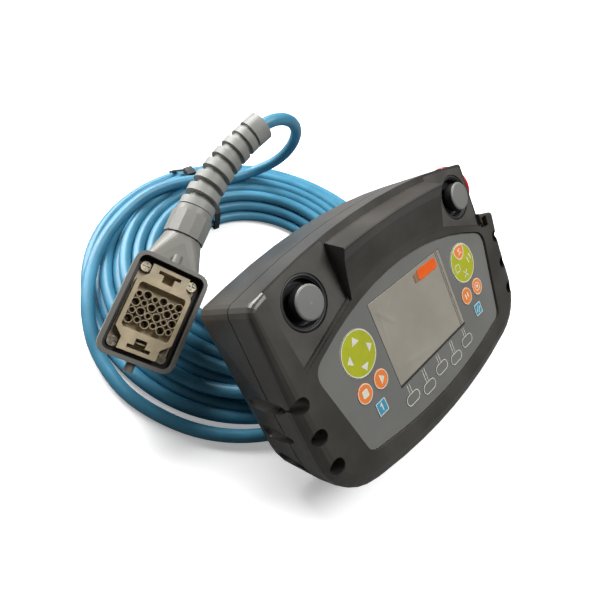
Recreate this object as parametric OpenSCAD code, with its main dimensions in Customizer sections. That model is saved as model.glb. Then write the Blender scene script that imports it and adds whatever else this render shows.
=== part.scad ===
// Hand-held teach pendant with two thumb joysticks, a display, a foil keypad,
// an emergency stop on its right flank and a long coiled lead with a rectangular plug.
// The housing is drawn flat in its own face frame: X to the right, Y up the face,
// Z out of the keypad foil, with the foil's top at Z = 0. posed() then leans it back.

/* [Housing] */
// Width of the housing over the grips
body_w = 210; // [200:1:224]
// Reach of the housing above the face centre
body_top = 66.5; // [66:0.5:72]
// Reach of the housing below the face centre
body_bottom = 75.5; // [75:0.5:80]
// Depth from the keypad foil to the back
body_depth = 50; // [50:1:58]
// Height of the front rim above the foil
rim_h = 1.5; // [1:0.1:2.2]
// Wall thickness of both shells
wall = 2.8; // [2.4:0.1:3.2]
// Depth of the parting line below the foil
split_depth = 18; // [17:0.5:18.5]
// Gap between the two shells, filled by the seal
seal_h = 0.8; // [0.6:0.1:1.2]
// Rounding of the grips' front edge
grip_round = 8; // [5:0.5:9]
// Rounding of the back edge
back_round = 6; // [4:0.5:7]
// Lean of the face back from level, as the pendant rests on its coil
lean = 38.6; // [30:0.1:45]

/* [Brow] */
// Half width of the raised brow over the display
brow_half = 46; // [40:1:47]
// Height of the brow above the foil
brow_h = 11.2; // [6:0.2:12]

/* [Keypad] */
// Thickness of the keypad foil
foil_t = 1; // [0.8:0.1:1.2]
// Radius of the round four-way pads
pad_r = 12.85; // [11:0.05:13]
// Distance of the pads from the middle
pad_x = 55; // [54:0.5:57]
// Radius of the round function keys
key_r = 5.7; // [4.5:0.1:5.8]
// Side of the square keys
square_key = 8; // [6:0.5:9]
// Length of the oval soft keys under the display
soft_l = 12.4; // [10:0.1:12.8]
// Width of the soft keys
soft_w = 6.7; // [6:0.1:7.2]
// Pitch of the soft keys
soft_pitch = 15.8; // [13:0.1:16]
// Travel of every key
key_travel = 0.4; // [0.2:0.05:0.45]

/* [Display] */
// Width of the display window
window_w = 72.6; // [66:0.2:73]
// Height of the display window
window_h = 53.6; // [48:0.2:54]

/* [Joysticks] */
// Distance of each joystick from the middle
stick_x = 72; // [71:0.1:72.2]
// Height of the joysticks on the face
stick_y = 39.6; // [38:0.1:40]
// Radius of the hole round each joystick
well_r = 14.7; // [14.4:0.1:14.8]
// Radius of the thumb cap
cap_r = 9; // [7:0.1:9.2]
// Height of the thumb cap's top above the foil
cap_top = 3.7; // [3:0.1:4]
// Radius of the gimbal pins
gimbal_pin_r = 1.2; // [0.8:0.1:1.4]

/* [Emergency stop] */
// Radius of the mushroom head
mushroom_r = 17; // [14:0.5:17]
// Diameter of the panel hole
estop_hole_d = 16; // [14:0.1:16]
// Travel of the mushroom
estop_travel = 4.5; // [3:0.1:4.6]

/* [Plug] */
// Length of the plug hood's opening
hood_l = 60; // [58:0.5:64]
// Width of the plug hood's opening
hood_w = 43; // [42:0.5:47]
// Depth of the plug hood
hood_h = 34; // [33:0.5:36]
// Wall of the plug hood
hood_wall = 2.4; // [1.8:0.1:2.6]

/* [Lead] */
// Diameter of the cable
cable_d = 8.4; // [7:0.1:9]
// Outer radius of the coiled cable
coil_r = 126.2; // [120:0.2:126.2]
// Radius of the hole in the coil
coil_hole_r = 58; // [50:1:64]
// Height of the coiled cable
coil_h = 23; // [16:0.5:23]

/* [Hidden] */
$fn = 48;

// Clearances
cut = 1;             // how far a cutting tool runs past a face
skim = 0.01;         // taken off a lofted end to leave it truly flat
slip = 0.15;         // seated panels and keys in their openings
pin_gap = 0.05;      // radial play of every pin in its bore

// Colours
SHELL = [0.24, 0.225, 0.205];
PLATE = [0.33, 0.31, 0.285];
FOIL = [0.44, 0.445, 0.435];
RUBBER = [0.05, 0.05, 0.05];
CAP = [0.52, 0.53, 0.51];
GREEN = [0.68, 0.74, 0.17];
ORANGE = [0.95, 0.57, 0.24];
TEAL = [0.28, 0.60, 0.70];
BOARD = [0.08, 0.33, 0.16];
STEEL = [0.72, 0.73, 0.74];
BRASS = [0.74, 0.60, 0.30];
HOOD = [0.66, 0.65, 0.61];
INSERT = [0.80, 0.74, 0.62];
CABLE = [0.20, 0.55, 0.75];

// Housing outline, anticlockwise: corners as [x, y, radius, steps], then how far the
// front edge and the back edge are rounded there, and how far the back draws in
half_w = body_w / 2;
shoulder_x = 89.5;             // flank that carries the emergency stop
shoulder_y = 20;               // top of the right grip
edge_r = 1.8;                  // rounding of the sharper edges round the shoulders
ear_r = 3.4;                   // rounding of the ear at the left shoulder's front
bottom_bow = 7.7;              // how far the bottom corner point lies below its arc
top_bow = 7.9;                 // how far the top corner point lies above its arc
housing_corners = [
    [0, -body_bottom - bottom_bow, 340, 8, grip_round, back_round, 2],
    [half_w - 1, -body_bottom + 14.5, 36, 7, grip_round, back_round, 2],
    [half_w + 0.4, -6, 80, 1, grip_round - 1, back_round, 2],
    [half_w + 0.1, shoulder_y - 4, 3, 3, edge_r, edge_r, 1],
    [shoulder_x, shoulder_y, 1.2, 2, edge_r, edge_r, 0],
    [shoulder_x, body_top - 9.8, 2.5, 2, edge_r, edge_r, 0],
    [0, body_top + top_bow, 430, 8, edge_r, 4, 0],
    [-half_w + 1.2, body_top - 12.9, 6, 3, ear_r, 4, 0],
    [-half_w - 0.4, -6, 80, 1, grip_round - 1, back_round, 2],
    [-half_w + 1, -body_bottom + 14.5, 36, 7, grip_round, back_round, 2]];

// Foil outline
foil_corners = [
    [0, -63.4, 300, 12], [74, -50, 8, 4], [86.8, 8, 9, 5],
    [0, 46.5, 192, 12], [-86.8, 8, 9, 5], [-74, -50, 8, 4]];

foil_top = 0;
foil_bottom = foil_top - foil_t;
deck_t = 2.2;                          // shell wall under the foil
deck_bottom = foil_bottom - deck_t;
panel_z = -1;                          // level of the two corner plates
plate_t = 2.5;
plate_bottom = panel_z - plate_t;
ledge_t = 2.5;                         // shell wall under the corner plates
ledge_bottom = plate_bottom - ledge_t;
front_bottom = -split_depth + seal_h / 2;
rear_top = -split_depth - seal_h / 2;
back_z = -body_depth;
back_inner = back_z + wall;
window_y = -8.2;                       // middle of the display

// Keypad board and its posts
board_t = 1.6;
key_stem_bottom = deck_bottom - 1.95;
board_top = key_stem_bottom - key_travel - 0.1;
board_posts = [[-67, -38], [67, -38], [-46, 12.5], [46, 12.5], [8, -50.8], [-8, -50.8]];
main_board_top = -36.4;
main_board_posts = [[-58, -44], [58, -44], [-30, 14], [10, 14]];

// Housing screws, from the back
screw_at = [[89.5, -14], [-89.5, -14], [79, -49], [-79, -49], [42, 56.5], [-42, 56.5]];
screw_r = 1.5;
screw_head_r = 2.8;
boss_r = 4.4;

// Joystick heights
pivot_z = -12;
gaiter_bottom = ledge_bottom - 2;
base_bottom = -19.5;

// Emergency stop
estop_y = 38.5;
estop_z = -28;
estop_barrel_r = estop_hole_d / 2 - 0.1;
mushroom_top_x = half_w + 7;

// Cable gland in its boss on the back
gland_y = 26;
gland_z = back_z - 11.5;
gland_boss = [34, 25, 22];
gland_boss_x = 40;
gland_thread_r = 7.9;

// Resting pose: how far the face centre stands above the floor and behind the middle
contact_y = -body_bottom + 2 + back_round;
rest_h = -contact_y * sin(lean) + (body_depth - back_round) * cos(lean) + back_round;
rest_y = -12.3;
rest_x = -2.2;                // half of what the emergency stop stands out on the right, less 1.1

// ---- outline functions ----
function unit(v) = v / norm(v);
function turn_sign(u, w) = u.x * w.y - u.y * w.x > 0 ? 1 : -1;
// One rounded corner: an arc tangent to both edges that meet at p
function corner_arc(a, p, b) =
    let (here = [p.x, p.y], r = p[2], steps = p[3],
        u = unit([a.x, a.y] - here), w = unit([b.x, b.y] - here),
        half = acos(u * w) / 2, mid = here + unit(u + w) * r / sin(half),
        first = here + u * r / tan(half) - mid,
        start = atan2(first.y, first.x), sweep = -turn_sign(u, w) * (180 - 2 * half))
    [for (k = [0:steps]) mid + r * [cos(start + sweep * k / steps), sin(start + sweep * k / steps)]];
function rounded(corners) = let (n = len(corners))
    [for (i = [0:n - 1]) each corner_arc(corners[(i + n - 1) % n], corners[i], corners[(i + 1) % n])];
// The same corners moved in by d[i], with their radii to match
function inset(corners, d) = let (n = len(corners)) [for (i = [0:n - 1])
    let (p = corners[i], here = [p.x, p.y], a = corners[(i + n - 1) % n], b = corners[(i + 1) % n],
        u = unit([a.x, a.y] - here), w = unit([b.x, b.y] - here), outer = -turn_sign(u, w),
        q = here + outer * unit(u + w) * d[i] / sin(acos(u * w) / 2))
    [q.x, q.y, max(p[2] - outer * d[i], 0.4), p[3]]];
function shrunk(corners, d) = rounded(inset(corners, [for (c = corners) d]));

housing_path = rounded(housing_corners);
foil_path = rounded(foil_corners);
plate_corners_left = [
    [-89.6, 12.4, 1.5, 3], [-brow_half - 1.3, 28.6, 1, 2],
    [-brow_half - 1.3, arch(brow_half) - 1.7, 1, 2], [-69, arch(69) - 1.6, 60, 1],
    [-92, arch(92) - 1.7, 1, 2]];
plate_corners_right = [
    [88, 13.1, 1.5, 3], [88, arch(88) - 2.1, 1, 2], [69, arch(69) - 1.6, 60, 1],
    [brow_half + 1.3, arch(brow_half) - 1.7, 1, 2], [brow_half + 1.3, 28.6, 1, 2]];

// Top edge of the housing, an arc through its middle
function arch(x) = body_top - x * x / 860;
// A ring of the housing: its corners moved in by d[i] and set at the heights z[i]
function ring(d, z) = let (path = rounded(inset(housing_corners, d)),
    high = [for (i = [0:len(z) - 1]) each [for (k = [0:housing_corners[i][3]]) z[i]]])
    [for (k = [0:len(path) - 1]) [path[k].x, path[k].y, high[k]]];
function front_ring(a) = ring([for (c = housing_corners) c[4] * (1 - cos(a))],
    [for (c = housing_corners) rim_h - c[4] * (1 - sin(a))]);
function rear_ring(a) = ring([for (c = housing_corners) c[6] + c[5] * (1 - cos(a))],
    [for (c = housing_corners) back_z + c[5] * (1 - sin(a))]);
function flat_ring(path, z) = [for (p = path) [p.x, p.y, z]];

// ---- shared modules ----
// Leans the face frame back and stands it on the floor
module posed() {
    translate([rest_x, rest_y, rest_h]) rotate([lean, 0, 0]) children();
}

// A closed skin through rings of equal length, stacked upwards
module skin(rings) {
    n = len(rings[0]);
    m = len(rings);
    polyhedron(points = [for (ring = rings) each ring], faces = concat(
        [[for (i = [0:n - 1]) i]],
        [for (j = [0:m - 2], i = [0:n - 1]) [j * n + i, (j + 1) * n + i, (j + 1) * n + (i + 1) % n]],
        [for (j = [0:m - 2], i = [0:n - 1]) [j * n + i, (j + 1) * n + (i + 1) % n, j * n + (i + 1) % n]],
        [[for (i = [n - 1:-1:0]) (m - 1) * n + i]]));
}

module slab(path, low, high) {
    translate([0, 0, low]) linear_extrude(high - low) polygon(path);
}

module box(low, high) {
    translate(low) cube(high - low);
}

module at_each(points) {
    for (p = points) translate([p.x, p.y, 0]) children();
}

// A bar along X from x0 to x1
module bar_x(r, x0, x1) {
    translate([x0, 0, 0]) rotate([0, 90, 0]) cylinder(r = r, h = x1 - x0);
}

module bar_y(r, y0, y1) {
    translate([0, y0, 0]) rotate([-90, 0, 0]) cylinder(r = r, h = y1 - y0);
}

// ---- housing ----
// Finger flutes down both flanks, deepest where they run out through the front edge
flute_r = 4.3;
flute_lean = 9.7;
flute_at = [[half_w - 5, -0.8], [half_w - 6.5, -20.4], [half_w - 8.5, -39.4]];
module flutes() {
    for (side = [-1, 1], p = flute_at) translate([side * p.x, p.y, 0])
        rotate([0, -side * flute_lean, 0]) translate([0, 0, back_z + 12]) rotate_extrude(angle = 360)
            polygon(concat([[0, body_depth]], [for (a = [-90:22.5:0]) [flute_r * cos(a), flute_r * sin(a)]],
                [[flute_r, body_depth]]));
}

// Wall at each corner of the outline: the grips are thicker by what the flutes cut away
flute_wall = 9;
walls = [for (c = housing_corners) c[4] > ear_r ? wall + flute_wall : c[5] == edge_r ? wall - 0.4 : wall];
function inside_wall(d) = rounded(inset(housing_corners, [for (w = walls) w - d]));
core_path = inside_wall(0);

// Stem of a key through the deck
stem_r = 1.6;
function pad_stem(side, turn) = [side * pad_x + 7 * cos(turn), 7 * sin(turn)];
round_keys = [[-47.8, -20.7], [-61.8, -20.7], [47.8, -20.7], [61.8, -20.7]];
square_keys = [[-54.8, -34.1], [54.8, -34.1]];
soft_keys = [for (i = [0:4]) [(i - 2) * soft_pitch + 0.7, i % 2 == 0 ? -45 : -48]];
stems = concat([for (side = [-1, 1], turn = [0:90:270]) pad_stem(side, turn)],
    round_keys, square_keys, soft_keys);

// The brow: a wedge whose crest follows the top edge and whose front runs down to the foil
function brow_back(x) = body_top - 5.1 - x * x / 1100;
function brow_foot(x) = 30.4 - x * x / 385;
function brow_ring(x) = let (b = brow_back(x), f = brow_foot(x), c = b - 5)
    [[x, f, panel_z - 1], [x, b + 0.6, panel_z - 1], [x, c + 0.8, brow_h - 0.5], [x, c, brow_h],
        [x, c - 0.9, brow_h - 0.35],
        for (t = [0.8:-0.2:0.19]) [x, f + (c - f) * t, rim_h + (brow_h - 1 - rim_h) * (0.75 * t + 0.25 * t * t)],
        [x, f, rim_h - 0.6]];

// Area that lies at the level of the corner plates
panel_area = [[-92.1, body_top + 9], [-92.1, 36], [-89.8, 12.2], [-brow_half + 1, 29.2],
    [-brow_half + 1, 50], [brow_half - 1, 50], [brow_half - 1, 29.2], [88.4, 12.2],
    [88.4, shoulder_y + 0.6], [half_w + 1, shoulder_y + 0.6], [half_w + 1, body_top + 9]];

// Low step along the slanting edge of each corner plate
step_z = 0.3;
step_left = [[-90.6, 10.5], [-brow_half + 1, 27.5], [-brow_half + 1, 32], [-90.6, 14]];
step_right = [[brow_half - 1, 27.5], [89.2, 10.5], [89.2, 14], [brow_half - 1, 32]];

strap_at = [93, 13.4];
module front_shell() {
    color(SHELL) posed() difference() {
        union() {
            difference() {
                skin(concat([flat_ring(housing_path, front_bottom)],
                    [for (a = [0:22.5:90]) front_ring(a)]));
                slab(panel_area, panel_z, rim_h + cut);
                slab(step_left, step_z, rim_h + cut);
                slab(step_right, step_z, rim_h + cut);
                box([-half_w - cut, -body_w, rim_h - skim], [half_w + cut, body_w, rim_h + cut]);
            }
            intersection() {
                skin([for (k = [-8:8]) brow_ring(k * (brow_half + cut) / 8)]);
                box([-brow_half, 0, panel_z - skim], [brow_half, body_w, brow_h + cut]);
            }
        }
        difference() {
            slab(core_path, front_bottom - cut, ledge_bottom);
            for (side = [-1, 1]) translate([side * stick_x, stick_y, 0])
                box([-15, -15, gaiter_bottom], [15, 15, 0]);
            at_each([strap_at]) box([-5, -6, -10], [6, 6, 0]);
            at_each(screw_at) cylinder(r = boss_r, h = 60, center = true);
        }
        difference() {
            slab(shrunk(foil_corners, 3), ledge_bottom - cut, deck_bottom);
            at_each(board_posts) translate([0, 0, board_top]) cylinder(r = 2.4, h = 20);
            at_each(screw_at) cylinder(r = boss_r, h = 60, center = true);
        }
        slab(foil_path, foil_bottom, brow_h);
        slab(rounded(plate_corners_left), plate_bottom, rim_h + cut);
        slab(rounded(plate_corners_right), plate_bottom, rim_h + cut);
        for (side = [-1, 1]) translate([side * stick_x, stick_y, 0]) {
            cylinder(r = well_r - 0.4, h = 40, center = true);
            at_each(stick_screw_at) translate([0, 0, gaiter_bottom - cut])
                cylinder(r = 1.25, h = 6);
        }
        translate([0, window_y, 0]) box([-window_w / 2 + 2, -window_h / 2 + 2, deck_bottom - cut],
            [window_w / 2 - 2, window_h / 2 - 2, 0]);
        at_each(stems) translate([0, 0, deck_bottom - cut]) cylinder(r = stem_r + 0.4, h = 9);
        at_each([strap_at]) box([-3.4, -3.6, -7], [2.7, 3.6, rim_h + cut]);
        at_each(screw_at) translate([0, 0, front_bottom - cut])
            cylinder(r = screw_r + pin_gap, h = 12);
        flutes();
    }
}

module rear_shell() {
    color(SHELL) posed() difference() {
        union() {
            difference() {
                skin(concat([for (a = [90:-22.5:0]) rear_ring(a)], [flat_ring(housing_path, rear_top)]));
                difference() {
                    slab(core_path, back_inner, rear_top + cut);
                    at_each(screw_at) cylinder(r = boss_r, h = 120, center = true);
                    at_each(main_board_posts) translate([0, 0, back_z])
                        cylinder(r = 3, h = main_board_top - board_t - back_z);
                }
            }
            gland_housing();
        }
        at_each(screw_at) {
            cylinder(r = screw_r + pin_gap, h = 150, center = true);
            translate([0, 0, back_z - cut]) cylinder(r = screw_head_r + 0.4, h = 4 + cut);
        }
        translate([gland_boss_x, gland_y, gland_z]) {
            bar_x(gland_thread_r + pin_gap, -cut, gland_boss.x - 3);
            box([8, -7, 0], [gland_boss.x - 6, 7, 20]);
        }
        translate([0, estop_y, estop_z]) bar_x(estop_hole_d / 2, 70, 100);
        flutes();
    }
}

// Boss on the back that takes the cable gland, with a sloped far end
module gland_housing() {
    translate([gland_boss_x, gland_y, 0]) rotate([90, 0, 0])
        linear_extrude(gland_boss.y, center = true) polygon([
            [0, back_z + 1], [0, back_z - gland_boss.z + 2], [2, back_z - gland_boss.z],
            [gland_boss.x - 12, back_z - gland_boss.z], [gland_boss.x, back_z + 1]]);
}

module housing_seal() {
    color(RUBBER) posed() difference() {
        slab(inside_wall(2), rear_top, front_bottom);
        slab(inside_wall(0.4), rear_top - cut, front_bottom + cut);
    }
}

module housing_screws() {
    color(STEEL) posed() at_each(screw_at) translate([0, 0, back_z + 4]) {
        cylinder(r = screw_r, h = body_depth - 4 - split_depth + 10);
        difference() {
            translate([0, 0, -2.4]) cylinder(r = screw_head_r, h = 2.4);
            translate([0, 0, -2.5]) cylinder(r = 1.4, h = 1.6, $fn = 6);
        }
    }
}

module corner_plate(side, corners) {
    color(PLATE) posed() difference() {
        slab(shrunk(corners, slip), plate_bottom, panel_z);
        translate([side * stick_x, stick_y, 0]) cylinder(r = well_r, h = 40, center = true);
    }
}
module left_corner_plate() { corner_plate(-1, plate_corners_left); }
module right_corner_plate() { corner_plate(1, plate_corners_right); }

// ---- keypad and display ----
key_low = foil_bottom + key_travel + 0.05;
key_high = foil_top + 0.35;
module keypad_foil() {
    color(FOIL) posed() difference() {
        slab(shrunk(foil_corners, 0.3), foil_bottom, foil_top);
        translate([0, window_y, 0]) box([-window_w / 2 - slip, -window_h / 2 - slip, -9],
            [window_w / 2 + slip, window_h / 2 + slip, 9]);
        for (side = [-1, 1]) translate([side * pad_x, 0, 0])
            cylinder(r = pad_r + slip, h = 20, center = true);
        at_each(round_keys) cylinder(r = key_r + slip, h = 20, center = true);
        at_each(soft_keys) slab(round_box(soft_l + 2 * slip, soft_w + 2 * slip, soft_w / 2), -9, 9);
        at_each(square_keys) cube([square_key + 2 * slip, square_key + 2 * slip, 20], center = true);
    }
}

module display_window() {
    color([0.55, 0.56, 0.52]) posed() translate([0, window_y, 0])
        box([-window_w / 2, -window_h / 2, foil_bottom], [window_w / 2, window_h / 2, foil_top - 0.1]);
}

module display_module() {
    color([0.2, 0.2, 0.22]) posed() translate([0, window_y, 0]) difference() {
        box([-39, -29, deck_bottom - 6], [39, 29, deck_bottom]);
        box([-34, -24, deck_bottom - 1.2], [34, 24, deck_bottom + cut]);
    }
}

// Protective film with its peel tab
module screen_film() {
    color([0.95, 0.36, 0.12]) posed() {
        translate([0, window_y, foil_top - 0.1])
            box([-window_w / 2 + 1, -window_h / 2 + 1, 0], [window_w / 2 - 1, window_h / 2 - 1, 0.12]);
        translate([19.5, 13, foil_top + 0.02]) linear_extrude(0.4) polygon(rounded([
            [-9.8, -3.4, 1.4, 3], [9.6, -3.4, 2.2, 3], [9.6, 3.4, 2.2, 3], [-9.8, 3.4, 1.4, 3]]));
    }
}

module keypad_board() {
    color(BOARD) posed() difference() {
        slab(rounded([[-72, -42, 4, 3], [-40, -52.4, 4, 3], [40, -52.4, 4, 3], [72, -42, 4, 3],
            [72, 6, 4, 3], [50, 17, 4, 3], [-50, 17, 4, 3], [-72, 6, 4, 3]]),
            board_top - board_t, board_top);
        translate([0, window_y, 0]) box([-39.6, -29.6, -20], [39.6, 40, 0]);
    }
}

module main_board() {
    color(BOARD) posed() {
        box([-66, -50, main_board_top - board_t], [66, 20, main_board_top]);
        box([-48, -36, main_board_top], [-18, -8, main_board_top + 3]);
        box([8, -30, main_board_top], [22, -16, main_board_top + 2]);
        box([34, -8, main_board_top], [60, 4, main_board_top + 8]);
    }
}

// A key: its cap in the foil and its stem down to the switch on the board
module key_stem() {
    translate([0, 0, key_stem_bottom]) cylinder(r = stem_r, h = key_low - key_stem_bottom + 0.1);
}
module round_key(at, r) {
    posed() translate([at.x, at.y, 0]) {
        translate([0, 0, key_low]) cylinder(r = r, h = key_high - key_low - 0.2);
        translate([0, 0, key_high - 0.2]) cylinder(r1 = r, r2 = r - 0.3, h = 0.2);
        key_stem();
    }
}
module soft_key(at) {
    posed() translate([at.x, at.y, 0]) {
        slab(round_box(soft_l, soft_w, soft_w / 2 - 0.1), key_low, key_high);
        key_stem();
    }
}
module square_key_at(at) {
    posed() translate([at.x, at.y, 0]) {
        box([-square_key / 2, -square_key / 2, key_low], [square_key / 2, square_key / 2, key_high]);
        key_stem();
    }
}
// One quarter of a four-way pad, facing the direction turn
module pad_quarter(side, turn) {
    posed() {
        translate([side * pad_x, 0, 0]) intersection() {
            translate([0, 0, key_low]) cylinder(r = pad_r, h = key_high - key_low);
            rotate(turn) slab([[slip, 0], [20 + slip, -20], [20 + slip, 20]], key_low - cut, key_high + cut);
        }
        translate(pad_stem(side, turn)) key_stem();
    }
}

module left_pad_right() { color(GREEN) pad_quarter(-1, 0); }
module left_pad_up() { color(GREEN) pad_quarter(-1, 90); }
module left_pad_left() { color(GREEN) pad_quarter(-1, 180); }
module left_pad_down() { color(GREEN) pad_quarter(-1, 270); }
module right_pad_right() { color(GREEN) pad_quarter(1, 0); }
module right_pad_up() { color(GREEN) pad_quarter(1, 90); }
module right_pad_left() { color(GREEN) pad_quarter(1, 180); }
module right_pad_down() { color(GREEN) pad_quarter(1, 270); }
module left_key_inner() { color(ORANGE) round_key(round_keys[0], key_r); }
module left_key_outer() { color(ORANGE) round_key(round_keys[1], key_r); }
module right_key_inner() { color(ORANGE) round_key(round_keys[2], key_r); }
module right_key_outer() { color(ORANGE) round_key(round_keys[3], key_r); }
module left_square_key() { color(TEAL) square_key_at(square_keys[0]); }
module right_square_key() { color(TEAL) square_key_at(square_keys[1]); }
module softkey_1() { color(FOIL) soft_key(soft_keys[0]); }
module softkey_2() { color(FOIL) soft_key(soft_keys[1]); }
module softkey_3() { color(FOIL) soft_key(soft_keys[2]); }
module softkey_4() { color(FOIL) soft_key(soft_keys[3]); }
module softkey_5() { color(FOIL) soft_key(soft_keys[4]); }

// Brass threaded insert for the hand strap, in its pocket on the right shoulder
strap_bore_r = 1.5;
module strap_insert() {
    color(BRASS) posed() at_each([strap_at]) translate([-0.1, 0, -7]) rotate_extrude()
        polygon([[strap_bore_r, 0], [2.5, 0], [2.5, 5.2], [2.2, 5.8], [strap_bore_r, 5.8]]);
}

// ---- joysticks ----
stick_screw_at = [for (a = [-1, 1], b = [-1, 1]) [12 * a, 12 * b]];
base_r = 12.2;
base_bore_r = 10.6;
base_flange_t = 2;
ring_r = 8.8;
ring_bore_r = 6.4;
hub_r = 4;
shaft_r = 2.6;

module on_stick(side) {
    posed() translate([side * stick_x, stick_y, 0]) children();
}

module stick_base(side) {
    flange_top = gaiter_bottom;
    on_stick(side) difference() {
        union() {
            translate([0, 0, base_bottom]) cylinder(r = base_r, h = flange_top - base_bottom);
            box([-14.2, -14.2, flange_top - base_flange_t], [14.2, 14.2, flange_top]);
        }
        translate([0, 0, base_bottom + 1.5]) cylinder(r = base_bore_r, h = 30);
        translate([0, 0, pivot_z]) bar_x(gimbal_pin_r + pin_gap, -20, 20);
        at_each(stick_screw_at) cylinder(r = 1.3, h = 60, center = true);
    }
}

// Rubber gaiter: its rim stands in the well, its floor leaves room for the stick's swing
module gaiter(side) {
    rim_r = well_r - 0.8;
    on_stick(side) rotate_extrude() polygon([
        [6, gaiter_bottom], [rim_r, gaiter_bottom], [rim_r, -2.4], [rim_r - 0.3, -2],
        [rim_r - 0.8, -2], [rim_r - 1.2, -3], [rim_r - 1.2, gaiter_bottom + 0.8], [6, gaiter_bottom + 0.8]]);
}

module gimbal(side) {
    on_stick(side) translate([0, 0, pivot_z]) difference() {
        union() {
            cylinder(r = ring_r, h = 3.8, center = true);
            bar_x(gimbal_pin_r, -base_r + 0.2, base_r - 0.2);
        }
        cylinder(r = ring_bore_r, h = 20, center = true);
        bar_y(gimbal_pin_r + pin_gap, -20, 20);
    }
}

module stick(side) {
    on_stick(side) union() {
        translate([0, 0, pivot_z - 5.2]) cylinder(r = shaft_r, h = 5.2 - pivot_z - 0.2);
        translate([0, 0, pivot_z]) sphere(r = hub_r);
        translate([0, 0, pivot_z]) bar_y(gimbal_pin_r, -ring_r + 0.2, ring_r - 0.2);
    }
}

module cap(side) {
    on_stick(side) rotate_extrude() polygon([
        [shaft_r + pin_gap, -3.2], [cap_r - 0.6, -3.2], [cap_r, -2.6], [cap_r, cap_top - 1],
        [cap_r - 0.3, cap_top - 0.5], [cap_r - 1, cap_top - 0.15], [0, cap_top], [0, 0], [shaft_r + pin_gap, 0]]);
}

module left_stick_base() { color(SHELL) stick_base(-1); }
module right_stick_base() { color(SHELL) stick_base(1); }
module left_gaiter() { color(RUBBER) gaiter(-1); }
module right_gaiter() { color(RUBBER) gaiter(1); }
module left_gimbal() { color(STEEL) gimbal(-1); }
module right_gimbal() { color(STEEL) gimbal(1); }
module left_stick() { color(STEEL) stick(-1); }
module right_stick() { color(STEEL) stick(1); }
module left_cap() { color(CAP) cap(-1); }
module right_cap() { color(CAP) cap(1); }

module joystick_screws() {
    color(STEEL) for (side = [-1, 1]) on_stick(side) at_each(stick_screw_at) {
        low = gaiter_bottom - base_flange_t;
        translate([0, 0, low]) cylinder(r = 1.2, h = 6.5);
        translate([0, 0, low - 1.6]) cylinder(r = 2, h = 1.6);
    }
}

// ---- emergency stop, along +X ----
barrel_bore_r = 5.05;
plunger_r = 5;
mushroom_under_x = mushroom_top_x - 6.4 - estop_travel - 1;    // end of the collar
module on_estop() {
    posed() translate([0, estop_y, estop_z]) children();
}
module turned_x(profile) {
    rotate([0, 90, 0]) rotate_extrude() polygon(profile);
}

module estop_collar() {
    color([0.12, 0.12, 0.12]) on_estop() turned_x([
        [barrel_bore_r, 72], [estop_barrel_r, 72], [estop_barrel_r, shoulder_x],
        [13, shoulder_x], [13, shoulder_x + 1.6], [11.8, shoulder_x + 3], [11, mushroom_under_x],
        [barrel_bore_r, mushroom_under_x]]);
}

module estop_nut() {
    inner_x = shoulder_x - wall;
    color(STEEL) on_estop() difference() {
        translate([inner_x - 2.2, 0, 0]) rotate([0, 90, 0]) cylinder(r = 10.4, h = 2.2, $fn = 6);
        bar_x(estop_barrel_r + pin_gap, 60, 100);
    }
}

module estop_plunger() {
    color([0.8, 0.8, 0.78]) on_estop() turned_x([
        [0, 73], [plunger_r, 73], [plunger_r, mushroom_top_x - 6.5], [3, mushroom_top_x - 6.5],
        [3, mushroom_top_x - 3], [0, mushroom_top_x - 3]]);
}

module estop_mushroom() {
    x = mushroom_top_x;
    color([0.80, 0.12, 0.14]) on_estop() turned_x([
        [3 + pin_gap, x - 6.4], [mushroom_r - 1, x - 6.4], [mushroom_r, x - 5.6], [mushroom_r, x - 3.6],
        [mushroom_r - 1.2, x - 2.2], [mushroom_r - 4, x - 1], [mushroom_r - 9, x - 0.3], [0, x],
        [0, x - 2.8], [3 + pin_gap, x - 2.8]]);
}

module estop_contact_block() {
    color([0.1, 0.1, 0.1]) on_estop() difference() {
        box([60, -8.2, -8.2], [72, 8.2, 8.2]);
        bar_x(plunger_r + 0.2, 72 - 1 - estop_travel, 73);
    }
}

// ---- cable entry on the back ----
gland_body_l = 18;
module on_gland() {
    posed() translate([gland_boss_x, gland_y, gland_z]) children();
}
module cable_gland() {
    color(SHELL) on_gland() difference() {
        union() {
            bar_x(gland_thread_r, -10, 8);
            translate([-4, 0, 0]) rotate([0, 90, 0]) cylinder(r = 10.4, h = 4, $fn = 6);
        }
        bar_x(sheath_stop_r, -20, 20);
    }
}
module gland_nut() {
    color(SHELL) on_gland() turned_x([
        [gland_thread_r + pin_gap, -4.3], [9.8, -4.3], [10.2, -5.5], [10.2, -12], [8.6, -16],
        [6, -gland_body_l], [cable_d / 2 + 0.3, -gland_body_l], [cable_d / 2 + 0.3, -10.4],
        [gland_thread_r + pin_gap, -10.4]]);
}

// ---- lead ----
// A tube swept along hand-set points: a ring of sides square to the path at each point
tube_sides = 10;
function tangent(path, i) = unit(path[min(i + 1, len(path) - 1)] - path[max(i - 1, 0)]);
function across(t) = unit(cross(t, abs(t.z) < 0.9 ? [0, 0, 1] : [1, 0, 0]));
function tube_ring(path, i, r) = let (t = tangent(path, i), u = across(t), w = cross(t, u))
    [for (k = [0:tube_sides - 1]) let (a = 360 * k / tube_sides) path[i] + r * (u * cos(a) + w * sin(a))];
// Points between the route's own, on a Catmull-Rom curve
function between(a, b, c, d, t) = 0.5 * ((2 * b) + (c - a) * t + (2 * a - 5 * b + 4 * c - d) * t * t
    + (3 * b - a - 3 * c + d) * t * t * t);
function refined(p, steps) = let (n = len(p))
    concat([for (i = [0:n - 2], s = [0:steps - 1])
        between(p[max(i - 1, 0)], p[i], p[i + 1], p[min(i + 2, n - 1)], s / steps)], [p[n - 1]]);
module tube(path, r) {
    skin([for (i = [0:len(path) - 1]) tube_ring(path, i, r)]);
}

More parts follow.
